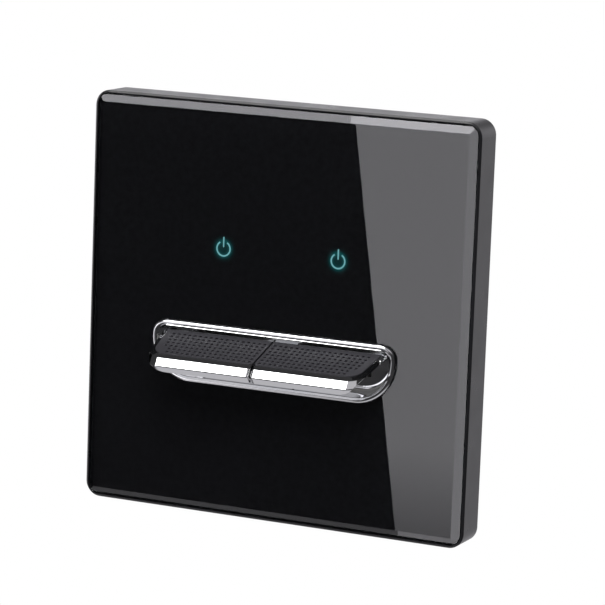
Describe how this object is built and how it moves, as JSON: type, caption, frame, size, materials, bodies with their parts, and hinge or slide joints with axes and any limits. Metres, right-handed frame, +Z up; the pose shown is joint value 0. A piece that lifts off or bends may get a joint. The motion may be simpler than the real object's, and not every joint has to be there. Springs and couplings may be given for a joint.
{
  "type": "wall light switch",
  "caption": "Square wall light switch: bevelled black glass panel, chrome bezel with side-by-side dimpled lever keys, lit power signs, and a rear mechanism with wire terminals.",
  "frame": {"origin": "midway between the two fixing holes, on the wall plane", "axes": "+X to the right, +Z up, +Y into the wall; the glass front faces -Y"},
  "size_m": [0.086, 0.0448, 0.086],
  "materials": {
    "black_glass": "polished, printed black on the back",
    "black_plastic": "fine satin",
    "chrome": "bright plated",
    "pad": "soft touch",
    "foam": "matte foam",
    "film": "translucent",
    "clear_plastic": "clear, polished",
    "plate_plastic": "satin",
    "housing_plastic": "fine matte",
    "nylon": "waxy",
    "steel": "zinc plated",
    "brass": "rolled",
    "silver": "bare",
    "board": "solder mask",
    "lamp": "clear tinted",
    "resistor": "lacquer"
  },
  "bodies": {
    "switch_body": {"glass_panel": "black_glass", "glass_tape": "foam", "panel_frame": "black_plastic", "key_bezel": "chrome", "pivot_rod": "steel", "mounting_plate": "plate_plastic", "mechanism_cover": "housing_plastic", "plate_screws": "steel", "mechanism_base": "housing_plastic", "base_screws": "steel", "fixed_contacts": "silver", "terminal_screws": "steel", "led_board": "board", "resistors": "resistor", "left_upper_terminal": "brass", "left_common_terminal": "brass", "left_lower_terminal": "brass", "left_icon_diffuser": "film", "left_light_guide": "clear_plastic", "left_led": "lamp", "right_upper_terminal": "brass", "right_common_terminal": "brass", "right_lower_terminal": "brass", "right_icon_diffuser": "film", "right_light_guide": "clear_plastic", "right_led": "lamp"},
    "left_key": {"left_key_shell": "chrome", "left_key_pad": "pad", "left_rocker_arm": "nylon", "left_plunger_spring": "steel"},
    "left_pin": {"left_plunger": "nylon"},
    "left_seesaw": {"left_contact_rocker": "brass", "left_moving_contacts": "silver"},
    "right_key": {"right_key_shell": "chrome", "right_key_pad": "pad", "right_rocker_arm": "nylon", "right_plunger_spring": "steel"},
    "right_pin": {"right_plunger": "nylon"},
    "right_seesaw": {"right_contact_rocker": "brass", "right_moving_contacts": "silver"}
  },
  "joints": [
    {"name": "left_key_tip", "type": "hinge", "parent": "switch_body", "child": "left_key", "pos_m": [0, 0, -0.0093], "axis": [1, 0, 0], "range_deg": [0, 10]},
    {"name": "left_plunger_slide", "type": "slide", "parent": "left_key", "child": "left_pin", "axis": [0, -1, 0], "range_m": [0, 0.0006], "stiffness_N_per_m": 200, "deforming": ["left_plunger_spring"]},
    {"name": "left_seesaw_flip", "type": "hinge", "parent": "switch_body", "child": "left_seesaw", "pos_m": [-0.0121, 0.0136, -0.0093], "axis": [1, 0, 0], "range_deg": [-14, 0]},
    {"name": "right_key_tip", "type": "hinge", "parent": "switch_body", "child": "right_key", "pos_m": [0, 0, -0.0093], "axis": [1, 0, 0], "range_deg": [0, 10]},
    {"name": "right_plunger_slide", "type": "slide", "parent": "right_key", "child": "right_pin", "axis": [0, -1, 0], "range_m": [0, 0.0006], "stiffness_N_per_m": 200, "deforming": ["right_plunger_spring"]},
    {"name": "right_seesaw_flip", "type": "hinge", "parent": "switch_body", "child": "right_seesaw", "pos_m": [0.0121, 0.0136, -0.0093], "axis": [1, 0, 0], "range_deg": [-14, 0]}
  ],
  "couplings": [
    {"joint": "left_seesaw_flip", "follows": "left_key_tip", "ratio": -1.4},
    {"joint": "right_seesaw_flip", "follows": "right_key_tip", "ratio": -1.4}
  ]
}
